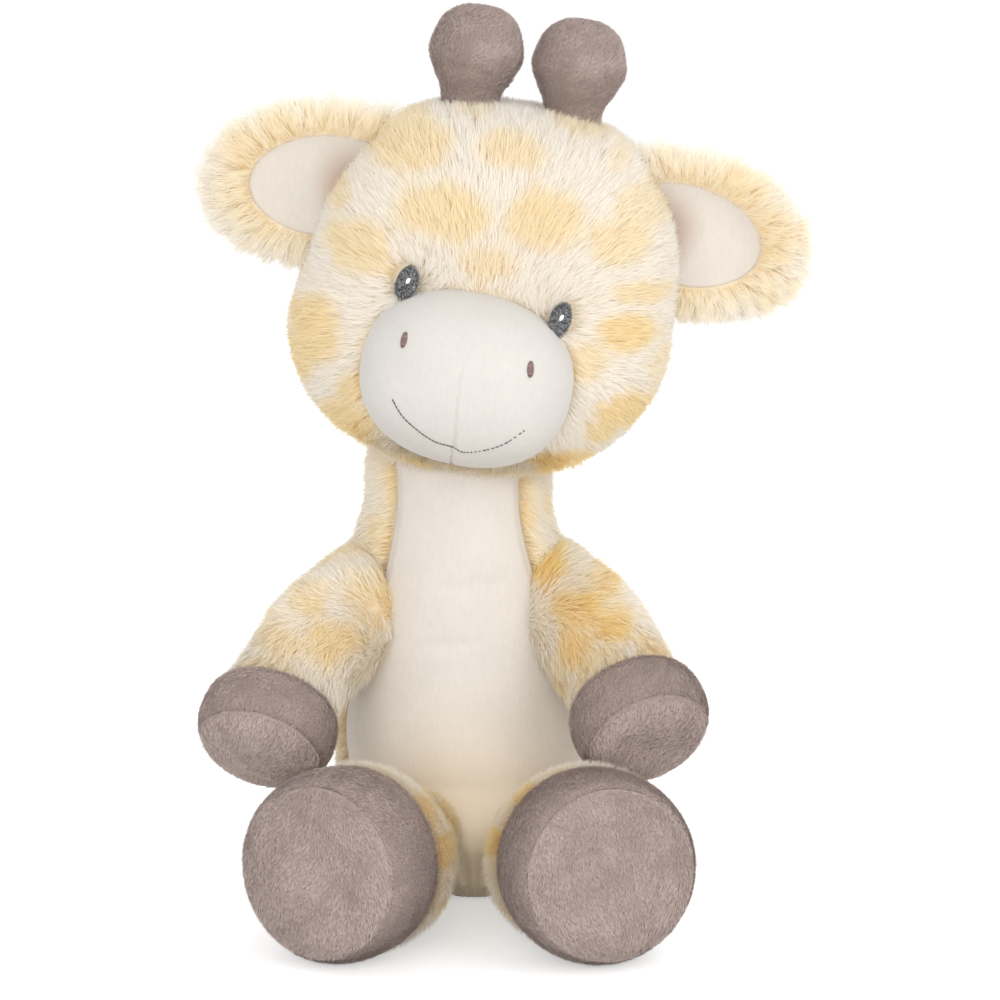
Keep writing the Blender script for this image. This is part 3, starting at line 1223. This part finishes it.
def limb_form(limb, inset, rows, columns):
    """A radius eased between root, middle and end, carried along the bent line; its root is a ball and its
    far end is flat."""
    radii = [radius - inset for radius in limb["radii"]]
    along = np.linspace(0, 1, rows)
    ball_share, share = np.clip(along / 0.25, 0, 1), np.clip((along - 0.25) / 0.73, 0, 1)
    bend, end = limb["bend"], limb["end"]
    line = bend_line(bend, end, share)
    tangent = unit(2 * (1 - share)[:, None] * bend + 2 * share[:, None] * (end - bend))
    upward = unit(np.cross(tangent, (1, 0, 0)))
    side = unit(np.cross(upward, tangent))
    near_half = mix(radii[0], radii[1], ease(0, 0.5, share))
    far_half = mix(radii[1], radii[2], ease(0.5, 1, share))
    radius = np.where(share < 0.5, near_half, far_half)
    spread = radius * np.sin(ball_share * math.pi / 2) * (1 - ease(0.985, 1, along))
    reach = -radius * np.cos(ball_share * math.pi / 2)
    angle = np.linspace(0, 2 * math.pi, columns, endpoint=False)
    ring = np.cos(angle)[None, :, None] * side[:, None] + np.sin(angle)[None, :, None] * upward[:, None]
    return (line + reach[:, None] * tangent)[:, None] + spread[:, None, None] * ring + limb["origin"]


def leg(side):
    """The leg's line, from the hip to the back of the foot, which stands on the floor."""
    sign = SIGNS[side]
    away = aim(sign, SIDES[side]["foot_turn"], FOOT_PITCH)
    rise = FOOT["widest"] - 0.5 - HOOF_BELLY * FOOT["length"] * math.sin(math.radians(FOOT_PITCH)) - HIP[2]
    end = np.array((sign * FOOT_PLACE[0], FOOT_PLACE[1], rise))
    bend = end + 0.35 * FOOT_PLACE[1] * away
    origin = np.array((sign * HIP[0], HIP[1], HIP[2]))
    middle = origin + end + HOOF_BELLY * FOOT["length"] * away
    return dict(origin=origin, bend=bend, end=end, away=away, radii=LEG_RADII, hoof=FOOT, middle=middle)


def arm(side):
    """The arm's line, from the shoulder to the hand, which rests over the rim of the foot."""
    part = SIDES[side]
    sign = SIGNS[side]
    set_out = torso_half_width(SHOULDER_HEIGHT) - SHOULDER_INSET - ARM_SET_IN
    origin = np.array((lean(SHOULDER_HEIGHT) + sign * set_out, 0, SHOULDER_HEIGHT))
    away = aim(sign, part["hand_turn"], -part["hand_pitch"])
    lift = unit(np.array(part["hand_lift"]) * (sign, 1, 1))
    middle = leg(side)["middle"] + lift * (FOOT["widest"] + HAND["widest"] + HAND_REST)
    end = middle - HOOF_BELLY * HAND["length"] * away - origin
    bend = end - 0.45 * np.linalg.norm(end) * away - (sign * part["tuck"], 0, 0)
    return dict(origin=origin, bend=bend, end=end, away=away, radii=ARM_RADII, hoof=HAND, middle=middle)


def in_torso(points, grow):
    """Whether points lie inside the torso's outline, grown by a distance."""
    half_width = torso_half_width(points[:, 2])
    front, behind = torso_depths(half_width, points[:, 2])
    depth = np.where(points[:, 1] < 0, front, behind) + grow
    across = (points[:, 0] - lean(points[:, 2])) / (half_width + grow)
    return across**2 + (points[:, 1] / depth) ** 2 < 1


def turned_about(points, origin, degrees):
    """Points turned about the line through an origin along +X."""
    cos, sin = math.cos(math.radians(degrees)), math.sin(math.radians(degrees))
    return (points - origin) @ np.array(((1, 0, 0), (0, cos, sin), (0, -sin, cos))) + origin


def hoof_walls(hoof):
    """The band's wall from its cuff to its seam, and the sole's from the seam to its middle, as one wall."""
    cuff, widest, seam, length, dome = hoof.values()
    band = [
        (cuff, 0),
        (mix(cuff, widest, 0.75), 0.22 * length),
        (widest, HOOF_BELLY * length),
        (mix(seam, widest, 0.6), 0.9 * length),
        (seam, length),
    ]
    sole = [
        (seam - 0.15, 0),
        (0.97 * seam, 0.28 * dome),
        (0.78 * seam, 0.74 * dome),
        (0.42 * seam, 0.97 * dome),
        (0, dome),
    ]
    return band, [(radius, height + length + 0.3) for radius, height in sole]


LIMB_SPOT_CELL = 16
# Pale-yellow spots seen on each limb: place across and up, half width, half height and strength
LIMB_SPOTS = {
    "arm_left": [
        (-29.5, 104.7, 6, 8, 1.1), (-47, 93, 9.5, 6, 1.1), (-64, 92, 7, 4.5, 0.8), (-56, 104, 6, 4, 0.7),
    ],
    "arm_right": [
        (23.7, 114, 8, 7, 1.6), (36.6, 101.4, 9, 6, 1.4), (45, 108.4, 6, 4.5, 1.2), (35.4, 90.5, 6, 7, 1.2),
        (47.6, 97, 6, 5.5, 1.3), (57, 86, 5, 4, 0.9),
    ],
    "leg_left": [
        (-19.8, 45.3, 6, 6, 1.0), (-14.3, 34.5, 6, 6, 1.2), (-4, 24, 5, 7, 1.2), (-10.8, 15.7, 5, 5, 1.3),
    ],
    "leg_right": [(17.8, 51, 5, 4, 1.2), (9.2, 36.4, 4, 5, 1.4), (9.9, 12.4, 5, 7, 1.3)],
}
LIMBS = [("leg", "foot", "left"), ("leg", "foot", "right"), ("arm", "hand", "left"), ("arm", "hand", "right")]
for index, (kind, end_kind, side) in enumerate(LIMBS):
    limb = leg(side) if kind == "leg" else arm(side)
    body = f"{kind}_{side}"
    skin = limb_form(limb, FUR_INSET, 72, 70)
    skin[..., 2] = np.maximum(skin[..., 2], FLOOR_CLEAR)
    sleeve = shell(f"{body}_backing", skin, fur_backing, body)
    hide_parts(f"{body}_sleeve")
    roots, outward = sow(limb_form(limb, FUR_INSET, 200, 192), FUR_PER_MM2, seed=71 + index)
    past_cuff = (roots - limb["origin"] - limb["end"]) @ limb["away"]
    bared = ~in_torso(turned_about(roots, limb["origin"], FULL_TURN[kind]), -1.5)
    kept = (~in_torso(roots, -2.5) | bared) & (past_cuff < -0.5) & (roots[:, 2] > 0.8)
    roots, outward, past_cuff = roots[kept], outward[kept], past_cuff[kept]
    nearer = ease(-60, 0, past_cuff)[:, None]
    down = limb["end"] / np.linalg.norm(limb["end"])
    comb = mix(down, limb["away"], nearer) + np.array((0, 0, -0.15))
    if kind == "arm":
        inner = ease(0.3, -0.4, outward[:, 0] * SIGNS[side])[:, None]  # the side by the panel
        swept = np.array((0.9 * SIGNS[side], 0.2, 0.2)) + 0.65 * drift(roots, 10)[:, :3]
        comb = mix(swept, comb, ease(-46, 4, past_cuff)[:, None])
    seen = roots + TIP_SHIFT * flat_on(comb, outward)
    spots = np.maximum(0.75 * blotches(roots, LIMB_SPOT_CELL, 4, 10), named_spots(seen, LIMB_SPOTS[body]))
    at_cuff = ease(-20, -2, past_cuff)[:, None]  # the pile stands up where it meets the hoof's band
    if kind == "leg":
        inner = (ease(22, 5, np.abs(roots[:, 0])) * ease(52, 34, roots[:, 2]))[:, None]
        length, stray, tuft, pull = 6.5 + 3 * inner, 0.3, 3.2, 0.3
        lift = np.maximum(0.45 + 0.25 * inner, 0.85 * at_cuff)
        spots = np.maximum(spots, 0.5 * inner[:, 0])
    else:
        length, stray, tuft, pull = 7.6 + 1.6 * inner, 0.28, 4.4, 0.34
        lift = mix(0.3, 0.55, at_cuff)
        matted = nearest_tuft(roots, 6.0)[2]
        spots = spots + 0.3 * ease(0.5, 0.9, matted)
    grow(f"{body}_pile", roots, outward, comb, 0.54 * spots, fur_finish, "long_fur", body, length, FUR_WIDTH,
         lift, stray=stray, tuft=tuft, pull=pull, seed=81 + index)

    turn = turn_up_to(limb["away"])
    wrist = limb["origin"] + limb["end"]
    band_wall, sole_wall = hoof_walls(limb["hoof"])
    for part, wall in (("band", band_wall), ("sole", sole_wall)):
        skin = turned_form(wall, PLUSH_INSET, 60, 128) @ turn.T + wrist
        skin[..., 2] = np.maximum(skin[..., 2], FLOOR_CLEAR)
        backing = shell(f"{end_kind}_{side}_{part}_backing", skin, plush_backing, body)
        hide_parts(f"{end_kind}_{side}_{part}")
        form = turned_form(wall, PLUSH_INSET, 120, 200)
        shown = form[1:-1] if part == "band" else form[1:]
        roots, outward = sow(shown, PLUSH_PER_MM2, seed=91 + index)
        tone = (0.28 if kind == "leg" else 0.36) + 0.22 * drift(roots + 40 * index, 6)[:, 0]
        tone = tone + 0.2 * drift(roots, 1.5)[:, 1]
        if part == "band":
            swirl = np.stack((-roots[:, 1], roots[:, 0], 0 * roots[:, 0]), -1)
            comb = np.array((0, 0, 1.0)) + 0.02 * swirl
            along = roots[:, 2] / limb["hoof"]["length"]
            tone = tone - 0.14 * ease(0.8, 1, along)
            if kind == "arm":
                tone = tone - 0.2 * ease(0.15, 0.5, along)
        else:
            comb = np.array((0, 0, -1.0)) @ turn + 0.9 * drift(roots + 30 * index, 24)[:, :3]
            tone = tone + 0.12 * ease(0.86, 1, np.hypot(roots[:, 0], roots[:, 1]) / limb["hoof"]["seam"])
        placed = roots @ turn.T + wrist
        kept = placed[:, 2] > 0.5
        grow_plush(f"{end_kind}_{side}_{part}_pile", placed[kept], (outward @ turn.T)[kept],
                   (comb @ turn.T)[kept], tone[kept], body, seed=101 + index)

# Tail
# A short furred tail with a tuft of the short-pile plush at its end, sewn to the back above the seat.

TAIL_HEIGHT = 38
TAIL_INSET = 2.2
TAIL_RADIUS = 6
TAIL_FUR_LENGTH = 5.5
TUFT_RADIUS = 8
TUFT_LENGTH = 17

torso_behind = torso_depths(torso_half_width(TAIL_HEIGHT), TAIL_HEIGHT)[1]
tail = dict(
    origin=np.array((lean(TAIL_HEIGHT), torso_behind - 3, TAIL_HEIGHT)),
    bend=np.array((0, 12, -4)),
    end=np.array((0, 12, -20)),
    radii=(TAIL_RADIUS, TAIL_RADIUS, 0.85 * TAIL_RADIUS),
)
tail_skin = limb_form(tail, TAIL_INSET, 60, 48)
tail_backing = shell("tail_backing", tail_skin, fur_backing, "tail")
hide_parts("tail_sleeve")
roots, outward = sow(limb_form(tail, TAIL_INSET, 100, 96), FUR_PER_MM2, seed=111)
kept = ~in_torso(roots, -2)
roots, outward = roots[kept], outward[kept]
grow("tail_pile", roots, outward, np.array((0, 0.2, -1.0)), 0.4 * blotches(roots, 14, 4, 8), fur_finish,
     "long_fur", "tail", TAIL_FUR_LENGTH, FUR_WIDTH, 0.4, tuft=3, seed=112)

TUFT_WALL = [
    (0.6 * TAIL_RADIUS, 0),
    (TUFT_RADIUS, 0.4 * TUFT_LENGTH),
    (0.75 * TUFT_RADIUS, 0.75 * TUFT_LENGTH),
    (0, TUFT_LENGTH),
]
tuft_turn = np.diag((1.0, -1.0, -1.0))
tuft_place = tail["origin"] + tail["end"] + (0, 0, -0.3)
tuft_skin = turned_form(TUFT_WALL, PLUSH_INSET, 40, 48) @ tuft_turn + tuft_place
tuft_backing = shell("tail_tuft_backing", tuft_skin, plush_backing, "tail")
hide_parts("tail_tuft")
roots, outward = sow(turned_form(TUFT_WALL, PLUSH_INSET, 80, 96)[1:], PLUSH_PER_MM2, seed=113)
grow("tail_tuft_pile", roots @ tuft_turn + tuft_place, outward @ tuft_turn, np.array((0, 0, -1.0)),
     0.45 + 0.2 * drift(roots, 4)[:, 0], plush_finish, "short_plush", "tail", PLUSH_LENGTH, PLUSH_WIDTH, 0.4,
     tuft=1.8, seed=114)
